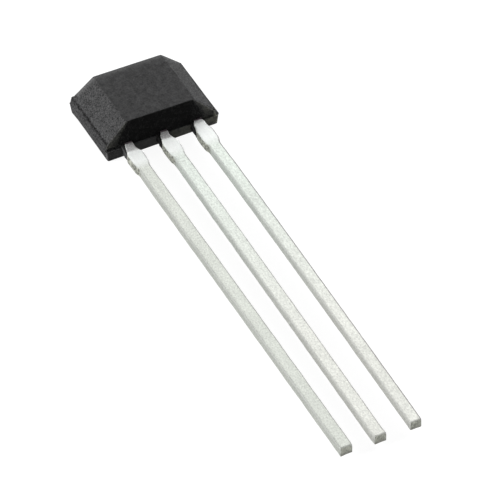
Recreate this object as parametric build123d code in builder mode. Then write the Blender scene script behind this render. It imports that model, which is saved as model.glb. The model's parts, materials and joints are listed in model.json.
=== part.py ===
"""Hall effect sensor in a flat three-lead moulded package, lying on its wide rear face.

X runs across the row of leads, the leads point along -Y and +Z is the front, the sensing side.
The origin is the centre of the flat rear face. All lengths are in millimetres.

A stamped leadframe gives the three leads. The middle one carries the die paddle, the outer two end in
bond posts beside it. The die is glued to the paddle and wired to the three leads, and the whole is
moulded into a block whose walls lean away from a parting plane that runs through the leads.
"""
import os
from math import radians, sin, tan

from build123d import *

# Moulded body, measured at the parting plane, where it is largest.
body_width = 4.10
body_height = 2.76
body_thickness = 1.33
parting_height = 0.415        # parting plane above the rear face
draft_angle = 7.0             # lean of every wall away from the parting plane
chamfer_across = 0.77         # side chamfer of the front, in from the side wall
chamfer_down = 0.72           # side chamfer of the front, down from the front face
corner_radius = 0.08          # the four upright corners
edge_radius = 0.04            # edges round the front and rear faces

# Gate vestige, the torn edge where the moulding compound entered, at the end away from the leads.
gate_width = 0.42
gate_thickness = 0.18
gate_stub = 0.07
gate_root = 0.15              # how far it reaches into the wall
gate_inset = 0.07             # from the side wall to the vestige

# Dimple left in the rear face by the ejector pin of the mould.
ejector_diameter = 1.0
ejector_depth = 0.05
ejector_offset = 0.62         # from the centre of the rear face towards the end away from the leads

# Leads, stamped from one strip.
frame_back = 0.185            # rear of the leads above the rear face of the body
lead_pitch = 1.27
lead_width = 0.41
lead_thickness = 0.35
lead_length = 15.65           # from the body to the tips
neck_width = 0.28             # narrow neck where the lead leaves the body
neck_length = 0.18
shoulder_width = 0.56         # widest place, where the dam bar was cut away
shoulder_distance = 0.56      # from the body to the widest place
dam_bar_width = 0.50          # width left at the far side of the dam bar cut
dam_bar_distance = 0.99       # from the body to the far side of the cut
dam_bar_step = 0.06           # length of the step down to the plain lead
die_roll = 0.035              # rounding that the stamping punch leaves on the front outline
supply_lean = -0.03           # sideways lean of each lead at its tip
ground_lean = -0.15
output_lean = -0.14

# Leadframe inside the body.
stamping_gap = 0.24           # between the paddle and the posts
side_wall = 0.42              # moulding outside the posts
end_wall = 0.50               # moulding beyond the paddle
paddle_width = 1.46
paddle_inset = 0.82           # from the lead end of the body to the paddle
post_inset = 0.42             # from the lead end of the body to the posts
post_length = 1.06
lock_radius = 0.11            # notches that lock the frame in the moulding

# Die and its glue.
die_width = 0.86
die_length = 0.76
die_thickness = 0.28
glue_thickness = 0.02
glue_margin = 0.04            # glue squeezed out round the die
bond_land = 0.40              # bare paddle between its edge and the die, for the ground wire

# Bond wires.
wire_diameter = 0.03
ball_diameter = 0.08
ball_height = 0.02
stitch_diameter = 0.09
stitch_height = 0.03
loop_height = 0.15            # top of the loop above the die
bend_radius = 0.045
pad_inset = 0.12              # bond pads from the edges of the die
ground_reach = 0.24           # stitch of the ground wire from the edge of the die
post_landing = 0.24           # stitch of an outer wire from the inner edge of its post
loop_flat = 0.40              # share of the span before the loop starts down

# Places that follow from the sizes above.
exit_y = -body_height / 2
tip_y = exit_y - lead_length
frame_top = frame_back + lead_thickness
paddle_bottom = exit_y + paddle_inset
paddle_top = body_height / 2 - end_wall
post_bottom = exit_y + post_inset
post_inner = paddle_width / 2 + stamping_gap
post_outer = body_width / 2 - side_wall
die_bottom = paddle_bottom + bond_land
die_center_y = die_bottom + die_length / 2
die_back = frame_top + glue_thickness
die_top = die_back + die_thickness
pad_x = die_width / 2 - pad_inset
chamfer_foot = body_thickness - chamfer_down
chamfer_foot_x = body_width / 2 - (chamfer_foot - parting_height) * tan(radians(draft_angle))


def outer_lead(center_x, tip_lean, inner_end):
    """Sketch one lead from its tip through the dam bar zone and the neck to a line inside the body."""
    profile = [
        (neck_width, inner_end),
        (neck_width, exit_y - neck_length),
        (shoulder_width, exit_y - shoulder_distance),
        (dam_bar_width, exit_y - dam_bar_distance),
        (lead_width, exit_y - dam_bar_distance - dam_bar_step),
    ]
    right = [(center_x + width / 2, y) for width, y in profile]
    left = [(center_x - width / 2, y) for width, y in profile]
    tip_x = center_x + tip_lean
    tip = [(tip_x + lead_width / 2, tip_y), (tip_x - lead_width / 2, tip_y)]
    Polygon(*right, *tip, *left[::-1], align=None)


def bond_post(side):
    """Sketch the post of an outer lead, on the left (-1) or the right (1), with its lock notch."""
    with Locations((side * (post_inner + post_outer) / 2, post_bottom + post_length / 2)):
        Rectangle(post_outer - post_inner, post_length)
    with Locations((side * post_outer, post_bottom + post_length * 2 / 3)):
        Circle(lock_radius, mode=Mode.SUBTRACT)


def paddle():
    """Sketch the die paddle of the ground lead with a lock notch on either side."""
    with Locations((0, (paddle_bottom + paddle_top) / 2)):
        Rectangle(paddle_width, paddle_top - paddle_bottom)
    notch_y = paddle_top - 3 * lock_radius
    with Locations((-paddle_width / 2, notch_y), (paddle_width / 2, notch_y)):
        Circle(lock_radius, mode=Mode.SUBTRACT)


def roll_front_outline(lead):
    """Round the front outline of a lead, up to its post or paddle, which are coined flat and sharp."""
    front_outline = lead.edges().group_by(Axis.Z)[-1]
    fillet(front_outline.filter_by(lambda edge: edge.center().Y < post_bottom), radius=die_roll)


# Lead 1, the supply.
with BuildPart() as lead_1_supply:
    with BuildSketch(Plane.XY.offset(frame_back)):
        outer_lead(-lead_pitch, supply_lean, post_bottom + neck_width)
        bond_post(-1)
    extrude(amount=lead_thickness)
    roll_front_outline(lead_1_supply)

# Lead 2, the ground, in one piece with the paddle.
with BuildPart() as lead_2_ground:
    with BuildSketch(Plane.XY.offset(frame_back)):
        outer_lead(0, ground_lean, paddle_bottom + neck_width)
        paddle()
    extrude(amount=lead_thickness)
    roll_front_outline(lead_2_ground)

# Lead 3, the output.
with BuildPart() as lead_3_output:
    with BuildSketch(Plane.XY.offset(frame_back)):
        outer_lead(lead_pitch, output_lean, post_bottom + neck_width)
        bond_post(1)
    extrude(amount=lead_thickness)
    roll_front_outline(lead_3_output)

# Glue between the paddle and the die.
with BuildPart() as die_attach:
    with BuildSketch(Plane.XY.offset(frame_top)):
        with Locations((0, die_center_y)):
            Rectangle(die_width + 2 * glue_margin, die_length + 2 * glue_margin)
    extrude(amount=glue_thickness)

# The silicon die with the Hall plate and its circuit.
with BuildPart() as hall_die:
    with BuildSketch(Plane.XY.offset(die_back)):
        with Locations((0, die_center_y)):
            Rectangle(die_width, die_length)
    extrude(amount=die_thickness)


def bond_wire(pad, landing):
    """Make one wire: a ball on the die, a loop with tangent bends and a stitch on the frame."""
    start = Vector(*pad, die_top + ball_height / 2)
    crest = Vector(*pad, die_top + loop_height)
    end = Vector(*landing, frame_top + stitch_height / 2)
    level = Vector(end.X, end.Y, crest.Z)
    with BuildPart() as wire:
        with BuildSketch(Plane.XY.offset(die_top)):
            with Locations(pad):
                Circle(ball_diameter / 2)
        extrude(amount=ball_height)
        with BuildSketch(Plane.XY.offset(frame_top)):
            with Locations(landing):
                Circle(stitch_diameter / 2)
        extrude(amount=stitch_height)
        with BuildLine() as loop:
            FilletPolyline(start, crest, crest + (level - crest) * loop_flat, end, radius=bend_radius)
        with BuildSketch(Plane(origin=start, z_dir=(0, 0, 1))):
            Circle(wire_diameter / 2)
        sweep(path=loop.wires()[0])
    return wire


post_landing_x = post_inner + post_landing
post_landing_y = post_bottom + post_length / 2
bond_wire_supply = bond_wire((-pad_x, die_center_y), (-post_landing_x, post_landing_y))
bond_wire_ground = bond_wire((0, die_bottom + pad_inset), (0, die_bottom - ground_reach))
bond_wire_output = bond_wire((pad_x, die_center_y), (post_landing_x, post_landing_y))

inner_pieces = {
    "lead_1_supply": lead_1_supply,
    "lead_2_ground": lead_2_ground,
    "lead_3_output": lead_3_output,
    "die_attach": die_attach,
    "hall_die": hall_die,
    "bond_wire_supply": bond_wire_supply,
    "bond_wire_ground": bond_wire_ground,
    "bond_wire_output": bond_wire_output,
}

# The moulded body, drafted both ways from the parting plane and filled round everything inside it.
with BuildPart() as molded_body:
    with BuildSketch(Plane.XY.offset(parting_height)) as parting_outline:
        RectangleRounded(body_width, body_height, corner_radius)
    extrude(amount=body_thickness - parting_height, taper=draft_angle)
    with BuildSketch(Plane.XZ):
        with BuildLine():
            Polyline(
                (chamfer_foot_x - chamfer_across, body_thickness),
                (chamfer_foot_x + chamfer_across, chamfer_foot - chamfer_down),
                (chamfer_foot_x + chamfer_across, body_thickness),
                close=True,
            )
        make_face()
        mirror(about=Plane.YZ)
    extrude(amount=body_height, both=True, mode=Mode.SUBTRACT)
    with BuildSketch(Plane.XY.offset(parting_height)):
        add(parting_outline.sketch)
    extrude(amount=-parting_height, taper=draft_angle)
    front_faces = molded_body.faces().filter_by(lambda face: face.normal_at().Z > sin(radians(30)))
    fillet(front_faces.edges(), radius=edge_radius)
    fillet(molded_body.edges().group_by(Axis.Z)[0], radius=edge_radius)

    with BuildSketch(Plane.XY.offset(parting_height)):
        with Locations((-body_width / 2 + gate_inset, body_height / 2 + gate_stub)):
            Rectangle(gate_width, gate_stub + gate_root, align=(Align.MIN, Align.MAX))
    extrude(amount=gate_thickness)

    with BuildSketch(Plane.XY):
        with Locations((0, ejector_offset)):
            Circle(ejector_diameter / 2)
    extrude(amount=ejector_depth, mode=Mode.SUBTRACT)

    for piece in inner_pieces.values():
        add(piece.part, mode=Mode.SUBTRACT)

os.makedirs("parts", exist_ok=True)
for name, piece in {"molded_body": molded_body, **inner_pieces}.items():
    piece.part.label = name
    export_step(piece.part, f"parts/{name}.step")
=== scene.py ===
# %% [markdown]
# # A Hall effect sensor
# A Hall effect sensor answers to a magnet. Its silicon die is moulded into a block of black epoxy
# barely four millimetres wide, and three flat leads, stamped from one strip of copper alloy and
# plated with tin, carry its supply, its ground and its output.
# The solid model of the part comes first, as a fixed frame in metres. Everything that is added
# afterwards takes its place from it, so nothing has to be fitted by hand.

# %% Load the solid model
import json
import math

import bpy
import numpy as np
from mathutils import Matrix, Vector

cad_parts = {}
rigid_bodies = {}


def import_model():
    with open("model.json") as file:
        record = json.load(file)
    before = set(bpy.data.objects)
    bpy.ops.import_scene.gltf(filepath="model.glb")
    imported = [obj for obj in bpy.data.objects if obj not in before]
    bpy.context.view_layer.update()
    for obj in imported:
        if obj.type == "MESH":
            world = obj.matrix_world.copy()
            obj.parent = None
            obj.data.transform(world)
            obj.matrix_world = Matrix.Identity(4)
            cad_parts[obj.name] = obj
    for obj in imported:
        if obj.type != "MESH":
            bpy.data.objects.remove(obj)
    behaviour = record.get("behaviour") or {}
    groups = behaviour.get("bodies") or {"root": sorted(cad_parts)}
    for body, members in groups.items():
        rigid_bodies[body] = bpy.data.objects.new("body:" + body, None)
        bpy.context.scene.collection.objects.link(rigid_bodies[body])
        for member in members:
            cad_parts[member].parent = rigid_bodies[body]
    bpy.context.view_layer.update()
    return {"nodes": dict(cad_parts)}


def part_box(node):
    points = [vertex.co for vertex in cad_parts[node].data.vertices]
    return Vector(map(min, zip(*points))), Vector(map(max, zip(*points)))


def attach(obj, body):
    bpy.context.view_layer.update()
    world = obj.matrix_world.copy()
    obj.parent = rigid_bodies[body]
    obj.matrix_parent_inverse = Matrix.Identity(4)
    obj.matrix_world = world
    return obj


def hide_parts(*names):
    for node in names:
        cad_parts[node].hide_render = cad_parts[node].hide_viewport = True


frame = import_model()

MM = 0.001
nodes = frame["nodes"]
print("solid model:", sorted(nodes))

# %% [markdown]
# ## Camera
# The sensor is as long as a fingernail, so it is looked at through a long lens from sixteen
# centimetres away. Such a view has little perspective, and the three leads stay nearly parallel.
# The camera is placed by two angles round the part, and turned to a point halfway down the leads.

# %% Place the camera
BODY_LOW, BODY_HIGH = (np.array(corner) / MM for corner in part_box("molded_body"))
EXIT_Y = BODY_LOW[1]
AZIMUTH, ELEVATION = math.radians(-26.6), math.radians(42.87)
CAMERA_DISTANCE = 159.4 * MM
VIEW_WIDTH = 16.04 * MM
SENSOR_WIDTH = 36.0
AIM_RIGHT, AIM_UP = 0.194 * MM, -0.421 * MM


def direction(azimuth, elevation):
    """The unit vector at two angles in radians, with azimuth 0 over the lead tips."""
    level = math.cos(elevation)
    return Vector((math.sin(azimuth) * level, -math.cos(azimuth) * level, math.sin(elevation)))


toward_camera = direction(AZIMUTH, ELEVATION)
rightward = Vector((math.cos(AZIMUTH), math.sin(AZIMUTH), 0))
upward = toward_camera.cross(rightward)
middle = Vector((0, (EXIT_Y - 6.0) * MM, 0.75 * MM))
camera_data = bpy.data.cameras.new("camera")
camera_data.sensor_width = SENSOR_WIDTH
camera_data.lens = SENSOR_WIDTH * CAMERA_DISTANCE / VIEW_WIDTH
camera_data.clip_start = 1 * MM
camera = bpy.data.objects.new("camera", camera_data)
camera.location = middle + toward_camera * CAMERA_DISTANCE
aim = middle + rightward * AIM_RIGHT + upward * AIM_UP
camera.rotation_euler = (camera.location - aim).to_track_quat("Z", "Y").to_euler()
bpy.context.scene.collection.objects.link(camera)
bpy.context.scene.camera = camera
print("lens: %.0f mm" % camera_data.lens)

# %% [markdown]
# ## Writing materials as expressions
# A finish is a small piece of arithmetic: a colour, plus a little noise, less some wear. Wired by
# hand that takes dozens of nodes, so the maths is written as Python expressions instead. `Socket`
# wraps an output and turns +, -, * and so on into Math nodes. `Finish` adds any other node.

# %% Shader maths
class Socket:
    """The output of a node. Arithmetic on it adds Math nodes to the same tree."""

    def __init__(self, finish, output):
        self.finish, self.output = finish, output

    def _math(self, operation, *values):
        return self.finish.node("ShaderNodeMath", {"operation": operation}, dict(enumerate(values)))

    def __add__(self, other):
        return self._math("ADD", self, other)

    def __sub__(self, other):
        return self._math("SUBTRACT", self, other)

    def __rsub__(self, other):
        return self._math("SUBTRACT", other, self)

    def __mul__(self, other):
        return self._math("MULTIPLY", self, other)

    __radd__, __rmul__ = __add__, __mul__

    def ramp(self, start, end):
        """0 up to `start`, 1 from `end` on, and a straight rise between them."""
        return self.finish.node("ShaderNodeMapRange", {"clamp": True}, {0: self, 1: start, 2: end})


class Finish:
    """A material under construction."""

    def __init__(self, name):
        self.material = bpy.data.materials.new(name)
        self.material.use_nodes = True
        self.tree = self.material.node_tree
        self.tree.nodes.clear()
        self.place = self.node("ShaderNodeTexCoord", out="Object")

    def node(self, kind, settings=None, values=None, out=0):
        """Add a node with its settings, then set or link its inputs, and return one output."""
        made = self.tree.nodes.new(kind)
        for key, value in (settings or {}).items():
            setattr(made, key, value)
        for key, value in (values or {}).items():
            if isinstance(value, Socket):
                self.tree.links.new(value.output, made.inputs[key])
            else:
                made.inputs[key].default_value = value
        return Socket(self, made.outputs[out]) if made.outputs else None

    def noise(self, size, detail=2.0, stretch=(1, 1, 1), seed=0.0):
        """Noise round 0.5 with blobs of about `size` millimetres, times `stretch` on each axis."""
        scale = tuple(1 / (size * MM * s) for s in stretch)
        values = {"Vector": self.place, "Location": (seed,) * 3, "Scale": scale}
        placed = self.node("ShaderNodeMapping", None, values)
        return self.node("ShaderNodeTexNoise", None, {"Vector": placed, "Scale": 1.0, "Detail": detail})

    def length_ramp(self, start, end):
        """0 where Y is `start` millimetres, 1 where it is `end`, along the leads."""
        y = self.node("ShaderNodeSeparateXYZ", None, {"Vector": self.place}, out="Y")
        return self.node("ShaderNodeMapRange", None, {0: y, 1: start * MM, 2: end * MM})

    def attribute(self, name):
        """The number that `ring_piece` stored under this name at each point of the mesh."""
        return self.node("ShaderNodeAttribute", {"attribute_name": name}, out="Fac")

    def blend(self, amount, low, high):
        """Mix two colours by a value from 0 to 1. Sockets 0, 6, 7 and 2 are Mix's own for colours."""
        return self.node("ShaderNodeMix", {"data_type": "RGBA"}, {0: amount, 6: low, 7: high}, out=2)

    def bump(self, height, distance, strength=1.0):
        """Bumps of `distance` millimetres where `height` goes from 0 to 1."""
        values = {"Height": height, "Distance": distance * MM, "Strength": strength}
        return self.node("ShaderNodeBump", None, values)

    def done(self, shader):
        """Send a shader to the surface and return the material."""
        self.node("ShaderNodeOutputMaterial", None, {"Surface": shader})
        return self.material


def grey(level, tint=(1, 1, 1)):
    """A colour of one grey level, lightly tinted."""
    return tuple(level * t for t in tint) + (1.0,)


# %% [markdown]
# ## From rings to a closed piece
# The body and the leads are both stacks of closed rings: outlines piled up from the rear face to
# the front, or sections set one behind another along a lead. Numpy works out all rings at once as
# an array, and one function turns any such array into a mesh. The two ends are closed at a point.

# %% Rings to a mesh
def ring_piece(name, rings, replaced, slot, material, **values):
    """Join rings of shape (count, around, 3), in millimetres, into a closed smooth piece of the body.

    Each ring runs anticlockwise as seen from the last ring, so that the faces point outwards.
    `values` holds a number for each point of the rings, stored as an attribute for the material.
    """
    count, around = rings.shape[:2]
    ends = np.stack([rings[0].mean(axis=0), rings[-1].mean(axis=0)])
    points = np.concatenate([rings.reshape(-1, 3), ends])
    row, column = np.meshgrid(np.arange(count - 1), np.arange(around), indexing="ij")
    following = (column + 1) % around
    corners = [row * around + column, row * around + following,
               (row + 1) * around + following, (row + 1) * around + column]
    walls = np.stack(corners, axis=-1).reshape(-1, 4)
    start, following = np.arange(around), (np.arange(around) + 1) % around
    last_row = (count - 1) * around
    first_end, last_end = np.full(around, count * around), np.full(around, count * around + 1)
    first_fan = np.stack([following, start, first_end], axis=-1)
    last_fan = np.stack([start + last_row, following + last_row, last_end], axis=-1)
    mesh = bpy.data.meshes.new(name)
    mesh.from_pydata(points * MM, [], walls.tolist() + first_fan.tolist() + last_fan.tolist())
    mesh.shade_smooth()
    for key, value in values.items():
        ends = [value[0].mean(), value[-1].mean()]
        stored = mesh.attributes.new(key, "FLOAT", "POINT")
        stored.data.foreach_set("value", np.concatenate([value.ravel(), ends]))
    mesh.materials.append(material)
    piece = bpy.data.objects.new(name, mesh)
    bpy.context.scene.collection.objects.link(piece)
    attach(piece, "root")
    if replaced:
        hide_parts(replaced)
    print("%s: %d rings of %d points" % (name, count, around))
    return piece


# %% [markdown]
# ## One outline for everything
# Seen from the front, the body is a rounded rectangle, and so is a slice across a lead. One formula
# serves both. Each corner is a quarter of an ellipse with its own size, and the points of a straight
# side are blends between the end of one corner and the start of the next. They are set closer
# together near the corners, where the shading has to turn.

# %% Rounded outlines
def fade(values, start, end):
    """0 at `start` and before it, 1 at `end` and past it, and a straight line between the two."""
    return np.clip((values - start) / (end - start), 0, 1)


def rounding(depth, radius):
    """How far a rounded edge stands back at `depth` behind the plane that it rounds into."""
    beyond = np.clip(radius - depth, 0, radius)
    return radius - np.sqrt(radius**2 - beyond**2)


def spaced(start, *runs):
    """Numbers from `start` through each run's end, with its own number of even steps."""
    values = [np.array([start])]
    for end, steps in runs:
        values.append(np.linspace(values[-1][-1], end, steps + 1)[1:])
    return np.concatenate(values)


def rounded_rings(left, right, low, high, corners, per_side, per_corner):
    """Rounded rectangles as rings, anticlockwise from the top right corner. Returns across and up.

    `corners` gives each corner's size across and up. A corner point is the centre of its arc plus
    these sizes times the cosine and sine of its angle.
    """
    corner_sizes = [size for corner in corners for size in corner]
    arrays = np.broadcast_arrays(left, right, low, high, *corner_sizes)
    left, right, low, high, *sizes = (array.astype(float).reshape(-1, 1) for array in arrays)
    across, up = [], []
    signs = ((1, 1), (-1, 1), (-1, -1), (1, -1))
    for index, (sign_x, sign_y) in enumerate(signs):
        size_x, size_y = sizes[2 * index], sizes[2 * index + 1]
        angle = (index + np.linspace(0, 1, per_corner)) * math.pi / 2
        center_x = (right if sign_x > 0 else left) - sign_x * size_x
        center_y = (high if sign_y > 0 else low) - sign_y * size_y
        across.append(center_x + size_x * np.cos(angle))
        up.append(center_y + size_y * np.sin(angle))
    rings = []
    for parts in (across, up):
        ring = []
        for index, steps in enumerate(per_side):
            run = 0.5 - 0.5 * np.cos(np.linspace(0, math.pi, steps + 2)[1:-1])
            begin, end = parts[index][:, -1:], parts[(index + 1) % 4][:, :1]
            ring += [parts[index], begin + (end - begin) * run]
        rings.append(np.concatenate(ring, axis=1))
    return rings


def points_at(x, y, z):
    """Join three arrays of coordinates into points along a last axis."""
    return np.stack(np.broadcast_arrays(x, y, z), axis=-1)


def shrunk(ring, sizes):
    """Copies of a ring drawn in to its middle, one for each of the sizes, where 1 is its own."""
    middle = ring.mean(axis=0)
    return middle + (ring - middle) * sizes[:, None, None]


# %% [markdown]
# ## The moulded body
# A mould opens at its parting plane, so every wall leans away from that plane, and a thin line of
# flash runs round the block where the two halves met. The front carries a broad chamfer on either
# side. A box could be bevelled to this shape, but the lean, the flash and the groove at the foot of
# the chamfers would each need work by hand. Here the block is a pile of outlines: every one is a
# rounded rectangle, and its two half sizes depend on its height.

# %% Sizes of the body
WIDTH, HEIGHT, THICKNESS = 2 * BODY_HIGH[0], -2 * EXIT_Y, BODY_HIGH[2]
PARTING, DRAFT = 0.415, math.tan(math.radians(7.0))
CHAMFER_ACROSS, CHAMFER_DOWN = 0.77, 0.72
CORNER_RADIUS, EDGE_RADIUS = 0.06, 0.035
CHAMFER_FOOT = THICKNESS - CHAMFER_DOWN
CHAMFER_FOOT_X = WIDTH / 2 - (CHAMFER_FOOT - PARTING) * DRAFT
GROOVE, GROOVE_DEPTH, GROOVE_WIDTH = CHAMFER_FOOT + 0.045, 0.015, 0.05
FLASH_HEIGHT, FLASH_THICKNESS = 0.006, 0.016
print("body: %.2f mm wide, %.2f mm tall, %.2f mm thick" % (WIDTH, HEIGHT, THICKNESS))


def line_at(height, level, thickness):
    """1 at one level, falling to 0 over a line of the given thickness, as a bell curve."""
    return np.exp(-((height - level) / (thickness / 2)) ** 2)


def half_sizes(z):
    """The two half sizes of the outline at each height.

    The wall stands in by the draft times the distance from the parting plane, and the chamfer cuts
    the width off in a straight line. Both round into the front and the rear face. The flash adds a
    little at the parting plane, and the mould's insert leaves a fine groove along the chamfer's foot.
    """
    wall = -np.abs(z - PARTING) * DRAFT + FLASH_HEIGHT * line_at(z, PARTING, FLASH_THICKNESS)
    edges = rounding(z, EDGE_RADIUS) + rounding(THICKNESS - z, EDGE_RADIUS)
    chamfer = CHAMFER_FOOT_X - (z - CHAMFER_FOOT) * CHAMFER_ACROSS / CHAMFER_DOWN
    across = np.minimum(WIDTH / 2 + wall, chamfer) - GROOVE_DEPTH * line_at(z, GROOVE, GROOVE_WIDTH)
    return across - edges, HEIGHT / 2 + wall - edges


# %% [markdown]
# ## Moulding compound
# The block is epoxy filled with fine silica, and the spark-eroded steel of the mould leaves a matt
# grain on every face. The grain is far too fine to model, and an image of it would stretch on the
# slopes. So it is noise in space, in the bump and in the colour, with a little broader mottle.

# %% The black epoxy
def moulding_compound():
    """A dark grey, mottled and grained, with three attributes of the mesh worked in.

    `pale` makes it paler, and carries painted light and shade, `coarse` makes the grain show more,
    and the third covers it in clumps of pale olive, part a dusty film and part painted light.
    """
    f = Finish("moulding_compound")
    grain = f.noise(0.050, detail=2.0)
    specks = f.noise(0.018, detail=1.0, seed=9.1)
    mottle = f.noise(0.20, detail=3.0, seed=3.7)
    coarse = 0.50 + f.attribute("coarse") * 0.75
    pale = 0.30 + (mottle - 0.5) * 0.40 + (grain - 0.5) * coarse + f.attribute("pale")
    black = f.blend(pale, grey(0.008, (1, 1, 1.01)), grey(0.140, (1, 1, 1.01)))
    # A pale olive in clumps, part a dusty film and part painted light on the lead end's corner and edges.
    clumps = f.noise(0.22, detail=3.0, seed=5.7)
    cover = (clumps * 2 + grain) * 2.0 - 2.2
    tone = f.blend(f.attribute("dust") * cover, black, (0.32, 0.32, 0.265, 1))
    shader = f.node("ShaderNodeBsdfPrincipled", None, {
        "Base Color": tone,
        "Roughness": 0.52 + mottle * 0.15,
        "Specular IOR Level": 0.05,
        "Normal": f.bump(grain * 0.7 + specks * 0.3, 0.008, 0.6),
    })
    return f.done(shader)


epoxy = moulding_compound()
print("black epoxy: %d nodes" % len(epoxy.node_tree.nodes))

# %% [markdown]
# ## Two mould halves that don't quite meet
# The walls are piled up from more than a hundred outlines, closer together where the surface turns.
# A block whose halves meet exactly looks drawn rather than made, so the rear half stands out a
# little beyond the front half, and some walls and corners stray or are worn by a few hundredths of
# a millimetre. The halves could be two objects, but one pile stays closed, so the step between them
# lies between two outlines. Upper and lower mean the end away from the leads and the end with them.

# %% Pile up the walls
REAR_LEFT, REAR_RIGHT = 0.008, 0.068  # how far the rear half stands out at its left and right
REAR_LOW, REAR_SKEW = 0.050, 0.024  # how far it stands out at the lower end, and its change with x
REAR_NARROWING = 0.030  # how far its right wall comes back in towards the upper corner
FRONT_NARROWING = 0.010  # how far the front half's right wall stands in under the chamfer
FRONT_RISE = 0.013  # how far the front half's upper wall stands out, away from its left end
UPPER_LEFT_SPREAD = 0.055  # how steeply the left wall spreads outwards near the upper corner
FRONT_WEAR, REAR_WEAR = 0.08, 0.06  # how much rounder the lower right corner has worn
REAR_SHARPNESS = 0.03  # how much sharper the upper left corner of the rear half is
HEIGHT_RUNS = [
    (0.006, 3), (EDGE_RADIUS, 8), (PARTING - 0.02, 14), (PARTING + 0.02, 20), (GROOVE - 0.07, 8),
    (GROOVE + 0.07, 36), (THICKNESS - EDGE_RADIUS, 26), (THICKNESS - 0.006, 8), (THICKNESS, 3),
]


def share_up(y):
    """0 at the end of the body with the leads and 1 at the other end."""
    return 0.5 + y / HEIGHT


heights = spaced(0.0, *HEIGHT_RUNS)
half_x, half_y = half_sizes(heights)
rear_half = fade(heights, PARTING + 0.001, PARTING - 0.001)
front_half = 1 - rear_half
wear_and_edge_light = CORNER_RADIUS + FRONT_WEAR * front_half * (THICKNESS - heights) / (THICKNESS - PARTING)
wear_and_edge_light += REAR_WEAR * rear_half * heights / PARTING
sharp = CORNER_RADIUS - REAR_SHARPNESS * rear_half
corners = [(radius, radius) for radius in (CORNER_RADIUS, sharp, CORNER_RADIUS, wear_and_edge_light)]
left, right = -half_x - REAR_LEFT * rear_half, half_x + REAR_RIGHT * rear_half
right -= FRONT_NARROWING * front_half * fade(heights, THICKNESS, CHAMFER_FOOT)
wall_x, wall_y = rounded_rings(left, right, -half_y, half_y, corners, (72, 56, 72, 56), 9)

in_rear, in_front = rear_half[:, None], front_half[:, None]
under_groove = fade(heights, GROOVE + 0.01, GROOVE - 0.02)[:, None]
wall_y += FRONT_RISE * in_front * share_up(wall_y) * fade(wall_x, -1.8, -1.2)
wall_x -= REAR_NARROWING * in_rear * share_up(wall_y) * fade(wall_x, 0, 2)
beyond = np.clip(wall_y - 0.9, 0, None) * fade(wall_x, 0, -2)
wall_x -= UPPER_LEFT_SPREAD * under_groove * beyond
wall_y -= in_rear * (1 - share_up(wall_y)) * (REAR_LOW - REAR_SKEW * wall_x)
walls = points_at(wall_x, wall_y, heights[:, None])
print("walls: %d outlines of %d points" % walls.shape[:2])

# %% [markdown]
# ## The rear face and the front
# The ejector pin that pushed the block out of its mould left a shallow round dimple in the rear
# face. One flat polygon would have no points for it, and cutting it with a Boolean would leave
# slivers. So the face starts as circles, and a straight blend leads from the last circle out to the
# lowest outline. Its points lie in the same directions from the dimple, so the blend never crosses
# itself. The front is flat: the highest outline, shrunk step by step.

# %% Close both faces
DIMPLE_Y, DIMPLE_RADIUS, DIMPLE_DEPTH, DIMPLE_WALL = 0.62, 0.5, 0.05, 0.02
bearing = np.arctan2(wall_y[0] - DIMPLE_Y, wall_x[0])
radii = spaced(0.02, (DIMPLE_RADIUS - 0.03, 10), (DIMPLE_RADIUS + 0.01, 12))[:, None]
climbed = fade(radii, DIMPLE_RADIUS - DIMPLE_WALL, DIMPLE_RADIUS)
sunk = DIMPLE_DEPTH * (0.5 + 0.5 * np.cos(np.pi * climbed))
dimple = points_at(radii * np.cos(bearing), DIMPLE_Y + radii * np.sin(bearing), sunk)
share = np.linspace(0, 1, 14)[1:-1, None, None]
rear_face = dimple[-1] * (1 - share) + walls[0] * share
shrink = np.linspace(1, 0.01, 16)[1:, None, None]
front_face = walls[-1] * np.concatenate([shrink, shrink, np.ones_like(shrink)], axis=-1)
body_rings = np.concatenate([dimple, rear_face, walls, front_face])
FRONT_HALF_X = half_x[-1]
print("front face: %.2f mm wide" % (2 * FRONT_HALF_X))

# %% [markdown]
# ## Painted light and shade, grain and a dusty film
# The compound isn't equally black all over. The mould is smoother in the middle. The end with the
# leads is painted dark as shade, and its left corner, its chamfer edges and its lower strip are
# painted paler as light, partly with a pale olive dusty film. The walls, the chamfers, the groove and
# the upper edge of the front carry painted light and shade too. It could be painted by hand, but
# such differences follow the shape, so they are worked out for each point of the mesh from its
# place, and the material reads them as attributes. A paleness of 0.1 more is a small step that just
# shows.

# %% The end with the leads, bands of painted light along its edges, and its chip
CHIP, CHIP_SIZE = (1.85, 0.03 - HEIGHT / 2, 0.60), 0.10


def lead_end(rings):
    """1 on the end wall that the leads come out of and 0 elsewhere, following the wall's draft."""
    end_wall_y = np.abs(rings[..., 2] - PARTING) * DRAFT - HEIGHT / 2
    return fade(end_wall_y - rings[..., 1], -0.03, -0.01)


# A band of painted light along each chamfer edge of the end with the leads.
def lit_edge_band(rings, side, broadest):
    """1 on the lead end along the edge of one chamfer, fading away from it, broader further down.

    `side` is -1 for the left chamfer and 1 for the right one. `broadest` is how much the band has
    widened at the chamfer's foot, in millimetres.
    """
    x, _, z = np.moveaxis(rings, -1, 0)
    edge_x = CHAMFER_FOOT_X - np.clip(z - CHAMFER_FOOT, 0, None) * CHAMFER_ACROSS / CHAMFER_DOWN
    width = 0.10 + broadest * (THICKNESS - z) / CHAMFER_DOWN
    near = fade((edge_x - side * x) / width, 1, 0.375)
    return lead_end(rings) * near * fade(z, PARTING + 0.08, PARTING + 0.12)


def chip(rings):
    """1 at the small dark chip beside the right corner of the lead end, fading out round it."""
    return np.exp(-np.sum((rings - CHIP) ** 2, axis=-1) / CHIP_SIZE**2)
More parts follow.
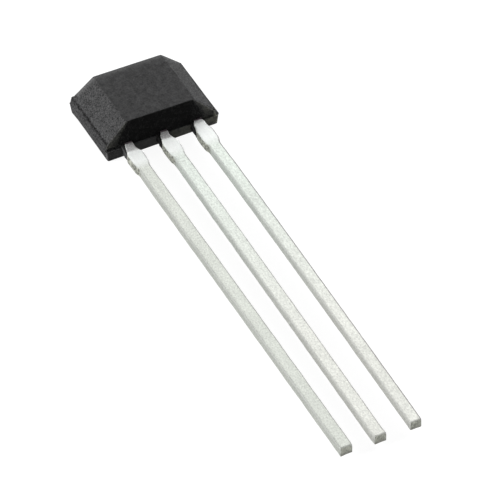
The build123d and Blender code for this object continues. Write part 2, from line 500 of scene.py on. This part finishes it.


# %% How pale the compound is
# Painted shade and light on the end with the leads: dark above the parting plane, paler at its left corner
# and, more, below the plane.
END_SHADE_ABOVE, END_LIGHT_LEFT_ABOVE = -0.29, 0.12  # the lead end above the parting plane, and its left corner
END_LIGHT_BELOW, END_LIGHT_LEFT_BELOW = 0.48, -0.26  # the same below the plane
# Painted shade on the walls under the chamfers.
WALL_SHADE_FRONT, WALL_SHADE_REAR = -0.085, -0.070  # the walls under the chamfers, above and below the plane
# Painted light on the left chamfer and painted shade on the right one.
CHAMFER_LIGHT_LEFT, CHAMFER_SHADE_RIGHT = 0.032, -0.062
# A painted highlight along the upper edge of the front, a little stronger on the chamfers.
TOP_EDGE_HIGHLIGHT, TOP_EDGE_HIGHLIGHT_CHAMFER = 0.30, 0.33
# Painted light along the left and the right chamfer edge of the end with the leads.
LEFT_EDGE_LIGHT, RIGHT_EDGE_LIGHT = 0.34, 0.56
# Painted shade in the groove under the chamfers; the chip is darker in its own colour.
GROOVE_SHADE, CHIP_DARKER = 0.15, 0.30


def paleness(rings):
    """How much paler or darker than the rest the compound is at each point of the body.

    Most of this is painted light and shade. The end with the leads is painted dark above the parting
    plane, as shade. Painted light pales it towards its left corner and along its chamfer edges, and
    more below the plane. The upper edge of the front carries a painted highlight. The walls under the
    chamfers are painted darker as shade, most of all in front of the plane, and so are the groove and
    the right chamfer, while the left chamfer is painted a little paler. The chip is darker in its own
    colour.
    """
    x, y, z = np.moveaxis(rings, -1, 0)
    at_leads = lead_end(rings)
    above = fade(z, PARTING - 0.01, PARTING + 0.01)
    left_end = fade(x, -1.45, -1.85)
    on_chamfer = (np.abs(x) > FRONT_HALF_X + 0.01) * (z > GROOVE)
    # Painted shade in the groove at the foot of the chamfers.
    groove = GROOVE_SHADE * line_at(z, GROOVE, 0.055) * (np.abs(x) > CHAMFER_FOOT_X - 0.15)
    groove = groove * np.maximum(fade(y, 1.25, 0.75), 0.2)
    from_top = HEIGHT / 2 - np.abs(z - PARTING) * DRAFT - y
    # A painted highlight along the upper edge of the front.
    top_highlight = np.where(on_chamfer, TOP_EDGE_HIGHLIGHT_CHAMFER, TOP_EDGE_HIGHLIGHT) * line_at(from_top, 0.05, 0.25)
    # Painted shade above the parting plane, and painted light below it and towards the left corner.
    at_end = above * (END_SHADE_ABOVE + END_LIGHT_LEFT_ABOVE * left_end)
    at_end += (1 - above) * (END_LIGHT_BELOW + END_LIGHT_LEFT_BELOW * left_end)
    # Painted shade on the walls under the chamfers, in front of the parting plane and behind it.
    elsewhere = (z < GROOVE) * (above * WALL_SHADE_FRONT + (1 - above) * WALL_SHADE_REAR)
    # Painted light on the left chamfer and painted shade on the right one.
    elsewhere += on_chamfer * np.where(x < 0, CHAMFER_LIGHT_LEFT, CHAMFER_SHADE_RIGHT)
    elsewhere += top_highlight * (z > GROOVE + 0.1)
    # Painted light along the chamfer edges of the lead end, less the painted shade of the groove and the
    # chip's own darker colour.
    wear_and_edge_light = LEFT_EDGE_LIGHT * lit_edge_band(rings, -1, 0.34) + RIGHT_EDGE_LIGHT * lit_edge_band(rings, 1, 0.52)
    wear_and_edge_light -= groove + CHIP_DARKER * chip(rings)
    return at_leads * at_end + (1 - at_leads) * elsewhere + wear_and_edge_light


# %% A dusty film with painted light, and how coarse the compound is
def dustiness(rings):
    """A pale olive film on the lead end, from the second lead to the right corner: part a dusty
    coating and part painted light.

    There is a little on both chamfer edges, as painted light, and hardly any on the chip.
    """
    x, _, z = np.moveaxis(rings, -1, 0)
    below = fade(z, PARTING + 0.01, PARTING - 0.01)
    corner = fade(x, 1.5, 1.9) * (0.34 + 0.08 * fade(z, 0.60, 0.48))
    behind = 0.30 * below * fade(x, 0.2, 0.6)
    wear_and_edge_light = 0.14 * lit_edge_band(rings, 1, 0.36) * fade(x, 1.9, 1.65)
    wear_and_edge_light += 0.18 * lit_edge_band(rings, -1, 0.34)
    return np.clip(lead_end(rings) * (corner + behind) + wear_and_edge_light, 0, 1) * (1 - 0.9 * chip(rings))


def coarseness(rings):
    """0 across the middle, over the width of the front face, and 1 to the left and right of it."""
    beside = (np.abs(rings[..., 0]) - FRONT_HALF_X) / 0.04
    return np.clip(beside + (rings[..., 2] < THICKNESS - 0.05), 0, 1)


# %% Make the body
ring_piece("body_molding", body_rings, "molded_body", "molding_compound", epoxy,
           pale=paleness(body_rings), dust=dustiness(body_rings), coarse=coarseness(body_rings))

# %% [markdown]
# ## Tin plating
# Matt tin is bright but not a mirror. The strip was rolled and drawn through the plating bath
# lengthwise, so the plating has faint streaks along each lead, with duller patches here and there.
# Noise that is stretched along Y gives such streaks without the seams of an image. Where a lead was
# cut from the strip after plating, the copper alloy shows, rough and olive grey.

# %% The tinned leads
def tin_plating(name, tint, tip_tint, seed):
    """Tin with streaks and speckle, tinted by `tint` at the body and by `tip_tint` further out.

    Three attributes of the mesh change it: where `matt` is 1, the press left it pale and dull, where
    `bare` is 1, the torn alloy shows, and where the third is 1, a dark pinkish grey covers it: painted
    shade and reflection of the body on the neck, a painted dark reflection along the right edge, and a
    darker rear on each tip's face.
    """
    f = Finish(name)
    streaks = f.noise(0.05, detail=2.0, stretch=(1, 16, 1), seed=seed)
    speckle = f.noise(0.050, detail=2.0, stretch=(1, 1.4, 1), seed=seed + 2.0)
    patches = f.noise(0.7, detail=3.0, stretch=(0.5, 1.6, 0.5), seed=seed + 4.0)
    tear = f.noise(0.055, detail=4.0, stretch=(1, 1, 1.6), seed=seed + 8.0)
    cut = f.attribute("bare")
    bare = (cut * 1.4 - tear * 0.5).ramp(0.1, 0.6)
    matt = f.attribute("matt")
    cloud = 0.5 + (patches - 0.5) * 0.45 + (streaks - 0.5) * 0.5 + (speckle - 0.5) * 1.5
    pressed = f.blend(cloud, grey(0.88, (0.975, 1, 0.98)), grey(1.0, (0.975, 1, 0.98)))
    full = f.blend(f.length_ramp(-4.0, -12.0), grey(1.0, tint), grey(1.0, tip_tint))
    plating = f.node("ShaderNodeVectorMath", {"operation": "MULTIPLY"},
                     {0: f.blend(cloud, grey(0.60), grey(0.98)), 1: full})
    tin = f.blend(matt, plating, pressed)
    torn = 0.5 + (tear - 0.5) * (8.0 - cut * 6.5)
    alloy = f.blend(torn, (0.25, 0.255, 0.225, 1), (0.88, 0.90, 0.80, 1))
    # A dark pinkish grey over the tin: painted shade and reflection of the body near it, a painted dark
    # reflection along the right edge, and a darker rear on each tip.
    painted_shade_and_darkening = (f.attribute("painted_shade_and_darkening") * 1.6 + tear * 0.9 - 0.80).ramp(0.0, 1.0)
    shader = f.node("ShaderNodeBsdfPrincipled", None, {
        "Base Color": f.blend(painted_shade_and_darkening, f.blend(bare, tin, alloy), (0.105, 0.082, 0.092, 1)),
        "Metallic": 0.88 - matt * 0.5,
        "Roughness": 0.40 + streaks * 0.16 + bare * 0.15,
        "Normal": f.bump(streaks * (1 - bare) * 0.3 + tear * bare, 0.010, 0.6),
    })
    return f.done(shader)


# %% [markdown]
# ## The leads
# All three leads come from one stamped strip. The punch rolls the front edges over and leaves the
# rear edges sharp. Near the body each lead swells where the dam bar between the leads was sheared
# away, and narrows to a neck where it enters the moulding. Inside, the middle lead ends in the
# paddle that carries the die, and the outer two end in bond posts.
# A lead could be a flat outline given a thickness and a bevel, but a bevel has one width all along.
# So a lead is a section carried along Y: its left and right edge are functions of Y, and so are the
# rolled corners. The sections stay upright, because the leads are straight.

# %% Sizes of the leads
PITCH = 1.27
(_, TIP_Y, LEAD_BACK), (_, _, LEAD_FRONT) = np.array(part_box("lead_1_supply")) / MM
DAM_BAR_END = 1.26
BURR, TIP_ROLL = 0.012, 0.05
POST_BOTTOM, POST_TOP, POST_INNER, POST_OUTER = EXIT_Y + 0.42, EXIT_Y + 1.48, 0.97, 1.63
PADDLE_BOTTOM, PADDLE_TOP, PADDLE_HALF = EXIT_Y + 0.82, HEIGHT / 2 - 0.50, 0.73
LOCK_RADIUS = 0.11
STEP = 0.004  # the short stretch of Y over which a post or the paddle narrows to its lead
# How far each tip leans along X, and how much further out it reaches than that of the solid.
LEANS = {"lead_1_supply": -0.03, "lead_2_ground": -0.15, "lead_3_output": -0.14}
LONGER = {"lead_1_supply": 0.015, "lead_2_ground": 0.030, "lead_3_output": -0.015}
print("leads: %.2f mm long, %.2f mm thick" % (EXIT_Y - TIP_Y, LEAD_FRONT - LEAD_BACK))

# %% [markdown]
# ## Necks, shoulders and bows
# No two leads are quite alike. The half widths to the left and the right are listed at a row of
# distances from the body, through the neck, the shoulder and the dam bar cut. The third lead has no
# narrow neck: it widens as soon as it leaves the body. A second list gives how far both edges stray
# on the way to the tip, a few hundredths of a millimetre, as no thin lead is straight. Lengths this
# short need no curves: straight lines between the listed values look as round as the metal does.

# %% Edges of the leads
FROM_BODY = np.array([0.02, 0.20, 0.32, 0.42, 0.50, 0.60, 0.75, 1.05, 1.15, 1.22, 1.32])
LEFT_HALF = np.array([0.100, 0.155, 0.178, 0.212, 0.247, 0.265, 0.262, 0.258, 0.254, 0.245, 0.205])
RIGHT_HALF = np.array([0.160, 0.160, 0.178, 0.212, 0.255, 0.287, 0.284, 0.266, 0.244, 0.225, 0.205])
EARLY_LEFT = np.array([0.100, 0.205, 0.213, 0.237, 0.250, 0.266, 0.268, 0.266, 0.260, 0.248, 0.205])
EARLY_RIGHT = np.array([0.155, 0.205, 0.213, 0.237, 0.268, 0.292, 0.295, 0.280, 0.256, 0.230, 0.205])
SHOULDERS = {
    "lead_1_supply": (LEFT_HALF, RIGHT_HALF),
    "lead_2_ground": (LEFT_HALF - 0.03 * (FROM_BODY < 0.15), RIGHT_HALF),
    "lead_3_output": (EARLY_LEFT, EARLY_RIGHT),
}
BOW_AT = [0.9, 2.6, 6.5, 10.5, 15.45, 15.65]
BOWS = {
    "lead_1_supply": ([0, 0.014, 0.011, 0.016, 0.028, 0.028], [0, 0.004, 0.012, 0.006, -0.010, -0.010]),
    "lead_2_ground": ([0, -0.003, 0.008, 0.004, 0.010, -0.010], [0, 0.007, 0.014, 0.010, -0.006, 0.018]),
    "lead_3_output": ([0, -0.022, -0.028, -0.026, 0.0, 0.0], [0, 0.025, 0.028, 0.014, -0.012, -0.012]),
}


def plain_lead(y, center_x, lean, half_widths, bows):
    """Left and right edge of a lead outside the body, and a little way into it.

    The centre line leans evenly from the dam bar cut to the tip. Each edge stands off from it by
    its half width, and by how far it strays. The punch that cut the dam bars stood a little to one
    side, so the shoulder is wider on the right and ends sooner there.
    """
    leaning = fade(y, EXIT_Y - DAM_BAR_END, TIP_Y)
    center = center_x + lean * leaning
    to_left, to_right = (
        np.interp(EXIT_Y - y, FROM_BODY, half) + np.interp(EXIT_Y - y, BOW_AT, bow)
        for half, bow in zip(half_widths, bows)
    )
    return center - to_left, center + to_right


def lock_notch(y, level):
    """Depth of the round notch that locks the frame in the moulding: a half circle of that radius."""
    return np.sqrt(np.clip(LOCK_RADIUS**2 - (y - level) ** 2, 0, None))


# %% [markdown]
# ## Rolled edges and sheared tips
# A stamped edge is never a perfect line: its roll and its place drift along the strip. Moving the
# finished points at random would roughen the flat faces too, so slow waves are added to the edges
# before the sections are made. At the tip the shear rolled the edges over, dragged the rear left one
# down a little and left a torn face, where random dents are right.

# %% Sections of a lead
# The rolled corners by their sizes across the lead and through it, and how far each tip is dragged.
LEFT_ROLLS = {"lead_1_supply": (0.10, 0.025), "lead_2_ground": (0.07, 0.02), "lead_3_output": (0.07, 0.02)}
RIGHT_ROLL = (0.055, 0.06)
TIP_DRAGS = {"lead_1_supply": 0.030, "lead_2_ground": 0.020, "lead_3_output": 0.0}
FACE_SHRINK = np.array([0.97, 0.9, 0.8, 0.68, 0.54, 0.4, 0.26, 0.12])
WAVE_HEIGHT, TEAR_DEPTH = 0.0011, 0.010
FULL_TURN = 6.3  # in radians, rounded


def lead_rings(y, left, right, left_roll, tip_drag, seed):
    """Sections along a lead from its inner end to its tip, with a sheared face over the tip.

    Four sums of six waves each move the left edge, the right edge and the front and change the
    size of the rolled corners. The right roll grows towards the tip, and `tip_drag` is how far the
    rear left edge is dragged down there. The end face is the last section shrunk step by step to
    its middle, with random dents where it tore.
    """
    wobble = np.random.default_rng(seed)
    phases = wobble.uniform(0, FULL_TURN, (4, 6))
    lengths = wobble.uniform(0.35, 2.4, (4, 6))
    waves = np.sin(y[:, None, None] * FULL_TURN / lengths + phases)
    drift_left, drift_right, drift_front, drift_roll = waves.sum(axis=2).T * WAVE_HEIGHT
    outside = fade(y, EXIT_Y - 0.1, EXIT_Y - 0.3)
    to_tip = rounding(y - y[-1], TIP_ROLL)
    at_tip = fade(y - y[-1], 0.16, 0) ** 2
    left = left + drift_left * outside + 0.4 * to_tip
    right = right + drift_right * outside - 0.4 * to_tip
    high = LEAD_FRONT - np.abs(drift_front) * outside - 0.7 * to_tip
    rolled = (0.1 + 0.9 * outside) * (1 + 8 * drift_roll)
    right_corner = tuple(rolled * (1 + 1.1 * at_tip) * size for size in RIGHT_ROLL)
    left_corner = tuple(rolled * size for size in left_roll)
    corners = [right_corner, left_corner, (BURR, BURR), (BURR, BURR)]
    x, z = rounded_rings(left, right, LEAD_BACK, high, corners, (10, 6, 10, 6), 9)
    to_left = fade(x - x.mean(axis=1, keepdims=True), 0, -0.2)
    to_back = fade(z, LEAD_BACK + 0.2, LEAD_BACK)
    z -= tip_drag * at_tip[:, None] * to_left * to_back
    rings = points_at(x, y[:, None], z)
    face = shrunk(rings[-1], FACE_SHRINK)
    dents = np.abs(wobble.normal(0, 1, face.shape[:2]))
    face[..., 1] += TEAR_DEPTH * dents * (1 - FACE_SHRINK[:, None])
    return np.concatenate([rings, face])


# %% [markdown]
# ## Marks of the making on the leads, and painted shade
# The press and the cutter each left their trace on the tin. The shoulders were flattened, and the
# dam bar cuts and the tips show bare metal. Near the body the necks carry painted shade and a painted
# reflection of the dark body, a painted dark reflection runs along each right edge, and the rear of
# each tip's face is darker. Each could be a material on its own faces, but that gives hard borders.
# As with the body, each trace is a number for each point of the mesh, so that it can fade out.

# %% Where the finish of a lead changes, and where shade is painted on it
FACE_RINGS = len(FACE_SHRINK)
BARE_RINGS, TIP_DARKER_RINGS = FACE_RINGS + 3, FACE_RINGS + 8  # the face and the last few sections
CUT_BARE, NEARER_FROST, SIDE_RUBBED = 0.72, 0.55, 0.4
# Painted shade on the sides of the necks and in the seam with the body, and how much darker the rear of
# each tip is.
SIDE_SHADE, SEAM_SHADE, TIP_REAR_DARKER = 0.60, 0.9, 0.42


def lead_marks(rings, neck_shade, neck_shade_end, edge, edge_start):
    """Where the finish of a lead changes, as numbers at each point, of which 0 changes nothing.

    `bare`: the plating was cut away, on the tip's face and on the sides of the dam bar cut.
    `matt`: the front of the shoulder, which the press flattened, and the top of the sides.
    The third number: painted shade and reflection of the body on the neck, strong on its sides,
    painted shade in the seam with the body, a painted dark reflection along the right edge, and a
    darker rear part of the tip's face.
    The arguments after the rings give how strong the neck's painted shade is and how far from the body
    it ends, then how strong the edge's painted reflection is and how far from the body it begins.
    """
    from_body, z = EXIT_Y - rings[..., 1], rings[..., 2]
    across = np.abs(rings[..., 0] - rings[..., 0].mean(axis=1, keepdims=True))
    side = fade(across / across.max(axis=1, keepdims=True), 0.94, 0.99)
    below_roll = fade(z, LEAD_FRONT - 0.02, LEAD_FRONT - 0.04)
    cut = fade(from_body, 0.30, 0.38) * fade(from_body, 1.60, 1.25)
    bare = CUT_BARE * side * cut * below_roll
    bare[-BARE_RINGS:] = 1.0
    pressed = fade(from_body, 1.4, 1.0) * fade(z, LEAD_FRONT - 0.03, LEAD_FRONT - 0.01)
    frosted = 1 + NEARER_FROST * fade(from_body, 0.85, 0.45)
    rubbed = SIDE_RUBBED * side * fade(z, LEAD_FRONT - 0.10, LEAD_FRONT)
    matt = np.maximum(pressed * frosted, rubbed)
    near = fade(from_body, 0.50, 0.35)
    neck = fade(from_body, neck_shade_end, neck_shade_end - 0.16)
    seam = fade(from_body, 0.07, 0)
    # A painted dark reflection along the right edge of each lead's top.
    from_right = rings[..., 0].max(axis=1, keepdims=True) - rings[..., 0]
    right_edge = fade(from_right, 0.075, 0.045) * (z > LEAD_FRONT - 0.07)
    right_edge = right_edge * fade(from_body, edge_start, edge_start + 0.2)
    # Painted shade and reflection of the body on the sides and the top of the neck, and painted shade in
    # the seam with the body.
    painted_shade_and_darkening = SIDE_SHADE * near * side * below_roll + neck_shade * neck * (1 - side)
    painted_shade_and_darkening += SEAM_SHADE * seam + edge * right_edge
    # The rear part of the tip's face and of the last sections is made darker.
    painted_shade_and_darkening[-TIP_DARKER_RINGS:] += TIP_REAR_DARKER * fade(z[-TIP_DARKER_RINGS:], LEAD_FRONT - 0.12, LEAD_FRONT - 0.32)
    return {"bare": bare, "matt": matt, "painted_shade_and_darkening": painted_shade_and_darkening}


# %% [markdown]
# ## Three stampings
# Each lead is one piece from its end inside the body to its tip, and replaces the plain solid. One
# mesh could serve three times, but then every scratch would be there three times too. So a loop
# makes three of them, each from its own numbers: the tin has a warmer tint on the first lead, the
# other two grow paler towards their tips, and the painted shade by the body reaches a different
# distance out on each.

# %% Make the leads
COOL, WARM, PALE = (0.95, 1.01, 0.945), (0.88, 0.91, 0.845), (1.0, 1.01, 0.95)
TINTS = {"lead_1_supply": (WARM, WARM), "lead_2_ground": (COOL, PALE), "lead_3_output": (COOL, PALE)}
# For each lead: the strength of the painted shade on its neck and how far out it ends, then the strength
# of the painted dark reflection along its right edge and where it begins.
NECK_AND_EDGE_SHADES = {
    "lead_1_supply": {"neck_shade": 0.56, "neck_shade_end": 0.54, "edge": 0.41, "edge_start": 0.5},
    "lead_2_ground": {"neck_shade": 0.59, "neck_shade_end": 0.50, "edge": 0.43, "edge_start": 0.7},
    "lead_3_output": {"neck_shade": 0.40, "neck_shade_end": 0.30, "edge": 0.60, "edge_start": 0.3},
}


def whole_lead(name, side):
    """Y and the left and right edge of a lead, from its end inside the body to its tip.

    `side` is -1, 0 or 1 for the left, the middle and the right lead. Inside the body the edges are
    straight, those of the paddle or of a bond post, less a lock notch in each edge that faces out.
    """
    if side == 0:
        top, bottom, ends = PADDLE_TOP, PADDLE_BOTTOM, (-PADDLE_HALF, PADDLE_HALF)
        notch_level, steps, neck_steps = PADDLE_TOP - 3 * LOCK_RADIUS, 120, 24
    else:
        top, bottom, ends = POST_TOP, POST_BOTTOM, sorted((side * POST_INNER, side * POST_OUTER))
        notch_level, steps, neck_steps = POST_BOTTOM + (POST_TOP - POST_BOTTOM) * 2 / 3, 90, 14
    tip = TIP_Y - LONGER[name]
    within = spaced(top, (bottom + STEP, steps), (bottom, 1), (EXIT_Y + 0.04, neck_steps))
    along = spaced(EXIT_Y + 0.02, (EXIT_Y - 1.4, 90), (tip + TIP_ROLL, 300), (tip + 0.004, 10), (tip, 3))
    y = np.concatenate([within, along])
    notch = lock_notch(y, notch_level)
    left, right = plain_lead(y, side * PITCH, LEANS[name], SHOULDERS[name], BOWS[name])
    inside = y >= bottom + STEP / 2
    left = np.where(inside, ends[0] + notch * (side <= 0), left)
    right = np.where(inside, ends[1] - notch * (side >= 0), right)
    return y, left, right


for number, name in enumerate(LEANS, start=1):
    y, left, right = whole_lead(name, side=number - 2)
    rings = lead_rings(y, left, right, LEFT_ROLLS[name], TIP_DRAGS[name], seed=number)
    plating = tin_plating("tin_plating_%d" % number, *TINTS[name], seed=number * 2.3)
    ring_piece("%s_stamping" % name, rings, name, "tinned_lead", plating,
               **lead_marks(rings, **NECK_AND_EDGE_SHADES[name]))

# %% [markdown]
# ## Flash beside the necks
# While the mould is full, the dam bars stop the compound between the leads. What filled the gap
# between the body and a bar stays on the leads as thin webs of flash, broken off unevenly. A web
# needn't be cut round its lead, because the metal hides where they overlap. It is a section wider
# than the neck and a little lower, carried out of the body to where the lead becomes as wide.

# %% The webs
WEB_LEFT, WEB_RIGHT, WEB_TOP, WEB_LENGTH = 0.235, 0.19, 0.47, 0.52
WEB_NARROWING, WEB_FALL, WEB_ROUGHNESS = 0.05, 0.12, 0.006
WEB_CORNERS = [(0.02, 0.03), (0.02, 0.03), (0.015, 0.015), (0.015, 0.015)]
WEB_PALENESS = {1: 0.02, 2: -0.22, 3: -0.22}  # counted from the left, and the first is the palest


def web_rings(center_x, seed):
    """Sections of a web from inside the body outwards, narrowing and falling to its broken end.

    Nine random numbers, with straight lines between them, make its edges and its front ragged.
    """
    rough = np.random.default_rng(seed)
    y = spaced(EXIT_Y + 0.08, (EXIT_Y - WEB_LENGTH, 40))
    gone = fade(y, EXIT_Y, EXIT_Y - WEB_LENGTH)
    ragged = np.interp(y, np.linspace(y[-1], y[0], 9), rough.normal(0, WEB_ROUGHNESS, 9))
    left = center_x - WEB_LEFT + ragged
    right = center_x + WEB_RIGHT - WEB_NARROWING * gone + ragged
    high = WEB_TOP - WEB_FALL * gone**2 - ragged
    x, z = rounded_rings(left, right, LEAD_BACK + 0.002, high, WEB_CORNERS, (12, 8, 12, 8), 5)
    rings = points_at(x, y[:, None], z)
    return np.concatenate([rings, shrunk(rings[-1], np.linspace(0.9, 0.1, 6))])


for number, web_paleness in WEB_PALENESS.items():
    rings = web_rings((number - 2) * PITCH, number)
    ring_piece("flash_web_%d" % number, rings, "molded_body", "molding_compound", epoxy,
               pale=np.full(rings.shape[:2], web_paleness))

# %% [markdown]
# ## Gate vestige
# The compound enters the mould through a small gate at the end away from the leads. When the parts
# are broken out of their strip, a stub with a torn face stays there. Bump alone would leave its rim
# straight, so it is modelled: a small section carried out of the wall, with its last outline shrunk
# to its middle and pushed in and out at random.

# %% The torn gate
GATE_LEFT, GATE_WIDTH, GATE_THICKNESS, GATE_STUB = 0.07 - WIDTH / 2, 0.42, 0.18, 0.07
GATE_ROUNDING, GATE_FLARE = 0.03, 0.02
TEAR_HEIGHT, TEAR_LOW, TEAR_HIGH = 0.006, -0.03, 0.02


def gate_rings():
    """Sections of the stub, from inside the wall to the tear, which bulges and falls at random.

    The stub flares out a little where it meets the wall. The random heights of the tear are
    averaged twice with their neighbours, which turns single points into small hills.
    """
    torn = np.random.default_rng(4)
    y = spaced(HEIGHT / 2 - 0.15, (HEIGHT / 2 - 0.04, 3), (HEIGHT / 2 + GATE_STUB - 0.02, 12))
    flare = GATE_FLARE * fade(y, HEIGHT / 2 + 0.02, HEIGHT / 2 - 0.03)
    left, right = GATE_LEFT - flare, GATE_LEFT + GATE_WIDTH + flare
    corners = [(GATE_ROUNDING, GATE_ROUNDING)] * 4
    x, z = rounded_rings(left, right, PARTING, PARTING + GATE_THICKNESS, corners, (26, 12, 26, 12), 6)
    rings = points_at(x, y[:, None], z)[:, ::-1]
    sizes = np.linspace(0.97, 0.05, 14)
    face = shrunk(rings[-1], sizes)
    hills = torn.normal(0, 1, face.shape[:2])
    for _ in range(2):
        hills = (hills + np.roll(hills, 1, axis=1) + np.roll(hills, -1, axis=1)) / 2.2
    face[..., 1] += np.clip(TEAR_HEIGHT * hills * (1.2 - sizes[:, None]), TEAR_LOW, TEAR_HIGH)
    return np.concatenate([rings, face])


ring_piece("gate_vestige", gate_rings(), "molded_body", "molding_compound", epoxy)

# %% [markdown]
# ## Inside the moulding
# The die is glued to the paddle with silver-filled epoxy and joined to the leads by gold wires. The
# moulding hides all of it. Meshes of their own would add nothing, as the solids have the right
# shapes already. So they stay, and each gets its finish.

# %% Finishes of the inner pieces
def silver_glue():
    """Grey glue full of silver flakes, which are paler and rougher than what is between them."""
    f = Finish("silver_glue")
    flakes = f.noise(0.02, detail=2.0)
    shader = f.node("ShaderNodeBsdfPrincipled", None, {
        "Base Color": f.blend(flakes, grey(0.30), grey(0.58, (1, 0.99, 0.96))),
        "Metallic": 0.6,
        "Roughness": 0.40 + flakes * 0.25,
        "Normal": f.bump(flakes, 0.006, 0.7),
    })
    return f.done(shader)


def silicon():
    """Polished silicon. Its top shows the fine blocks of the circuit, as noise on two scales."""
    f = Finish("silicon")
    cells = f.noise(0.06, detail=0.0, stretch=(1, 0.5, 1))
    lines = f.noise(0.012, detail=1.0, stretch=(3, 0.5, 1), seed=2.0)
    blocks = cells.ramp(0.46, 0.54)
    shader = f.node("ShaderNodeBsdfPrincipled", None, {
        "Base Color": f.blend(blocks * 0.6 + lines * 0.4, (0.10, 0.11, 0.16, 1), (0.30, 0.29, 0.33, 1)),
        "Metallic": 0.7,
        "Roughness": 0.14 + blocks * 0.12,
    })
    return f.done(shader)


def gold():
    """Bright gold with the faint streaks of a drawn wire."""
    f = Finish("gold")
    drawn = f.noise(0.01, detail=1.0, stretch=(4, 1, 1))
    shader = f.node("ShaderNodeBsdfPrincipled", None, {
        "Base Color": f.blend(drawn, (0.80, 0.52, 0.16, 1), (0.98, 0.74, 0.33, 1)),
        "Metallic": 1.0,
        "Roughness": 0.16 + drawn * 0.12,
    })
    return f.done(shader)


# %% Dress the solids
def dress(material, *names):
    """Give solids of the frame their finish."""
    for name in names:
        nodes[name].data.materials.clear()
        nodes[name].data.materials.append(material)
    print("%s: %s" % (material.name, ", ".join(names)))


dress(epoxy, "molded_body")
dress(silver_glue(), "die_attach")
dress(silicon(), "hall_die")
dress(gold(), "bond_wire_supply", "bond_wire_ground", "bond_wire_output")

# %% [markdown]
# ## Floor
# The sensor lies on a plain pale floor, big enough to have no edge in view. A white floor in strong
# light would throw that light up at the part and hide its dark sides. So the floor is a darker grey
# with a glow of its own, which only the camera and mirror images see, and it keeps soft shadows.

# %% The floor
FLOOR_HALF = 2.0
FLOOR_SEEN, FLOOR_MIRRORED = 0.92, 0.50
floor_corners = [(x * FLOOR_HALF, y * FLOOR_HALF, 0) for x, y in ((-1, -1), (1, -1), (1, 1), (-1, 1))]
floor_mesh = bpy.data.meshes.new("floor")
floor_mesh.from_pydata(floor_corners, [], [(0, 1, 2, 3)])
floor = bpy.data.objects.new("floor", floor_mesh)
bpy.context.scene.collection.objects.link(floor)


def floor_paint():
    """A grey with a hint of speckle, plus the glow, whose strength depends on what looks at it."""
    f = Finish("floor_paint")
    speckle = f.noise(4.0)
    diffuse = f.node("ShaderNodeBsdfDiffuse", None, {"Color": f.blend(speckle, grey(0.19), grey(0.21))})
    seen = f.node("ShaderNodeLightPath", out="Is Camera Ray")
    mirrored = f.node("ShaderNodeLightPath", out="Is Glossy Ray")
    strength = seen * FLOOR_SEEN + mirrored * FLOOR_MIRRORED
    glow = f.node("ShaderNodeEmission", None, {"Color": grey(1.0), "Strength": strength})
    return f.done(f.node("ShaderNodeAddShader", None, {0: diffuse, 1: glow}))


floor.data.materials.append(floor_paint())
print("floor: %.0f m wide" % (2 * FLOOR_HALF))

# %% [markdown]
# ## Lights
# The front of the body faces up. A light straight above would make it the brightest face of all, so
# two soft lights stand low on either side, where the side walls, the chamfers and the leads catch
# them, and a weak one stands above and behind. The end that the leads come out of stays in shade,
# but for a faint fill. Small hard lamps would make the metal sparkle, so all of them are broad.

# %% Soft lights
LIGHTS_AIM = Vector((0, -4 * MM, 0))


def softbox(name, azimuth, elevation, distance, size, radiance, mirrored=True):
    """A square area light at two angles round the part, turned to it. Power is pi * area * radiance."""
    data = bpy.data.lights.new(name, "AREA")
    data.shape = "SQUARE"
    data.size = size
    data.energy = math.pi * size * size * radiance
    made = bpy.data.objects.new(name, data)
    away = direction(math.radians(azimuth), math.radians(elevation))
    made.location = LIGHTS_AIM + away * distance
    made.rotation_euler = away.to_track_quat("Z", "Y").to_euler()
    made.visible_glossy = mirrored
    bpy.context.scene.collection.objects.link(made)
    print("%s: %.3f W" % (name, data.energy))


softbox("left_light", -103, 16, 200 * MM, 110 * MM, radiance=18.0, mirrored=False)
softbox("right_light", 103, 16, 200 * MM, 110 * MM, radiance=18.0, mirrored=False)
softbox("back_light", 153, 45, 160 * MM, 150 * MM, radiance=0.86)
softbox("front_fill", -10, 6, 200 * MM, 110 * MM, radiance=1.5, mirrored=False)

# %% [markdown]
# ## The room
# Metal looks like what it mirrors, and in an empty black room it would look black. The world is
# therefore a pale room for the camera and for mirror images, and a dim one for all other light, so
# that it brightens the tin without washing out the shadows.

# %% The dim room
ROOM_LIGHT, ROOM_SEEN = 0.04, 0.52
room = bpy.data.worlds.new("room")
room.use_nodes = True
tree = room.node_tree
path = tree.nodes.new("ShaderNodeLightPath")
seen = tree.nodes.new("ShaderNodeMath")
seen.operation = "MAXIMUM"
tree.links.new(path.outputs["Is Camera Ray"], seen.inputs[0])
tree.links.new(path.outputs["Is Glossy Ray"], seen.inputs[1])
strength = tree.nodes.new("ShaderNodeMapRange")
strength.inputs["To Min"].default_value = ROOM_LIGHT
strength.inputs["To Max"].default_value = ROOM_SEEN
tree.links.new(seen.outputs[0], strength.inputs["Value"])
background = tree.nodes["Background"]
background.inputs["Color"].default_value = (1, 1, 1, 1)
tree.links.new(strength.outputs[0], background.inputs["Strength"])
bpy.context.scene.world = room
bpy.context.scene.view_settings.view_transform = "Standard"
print("room: %.2f bright as seen, %.2f as light" % (ROOM_SEEN, ROOM_LIGHT))
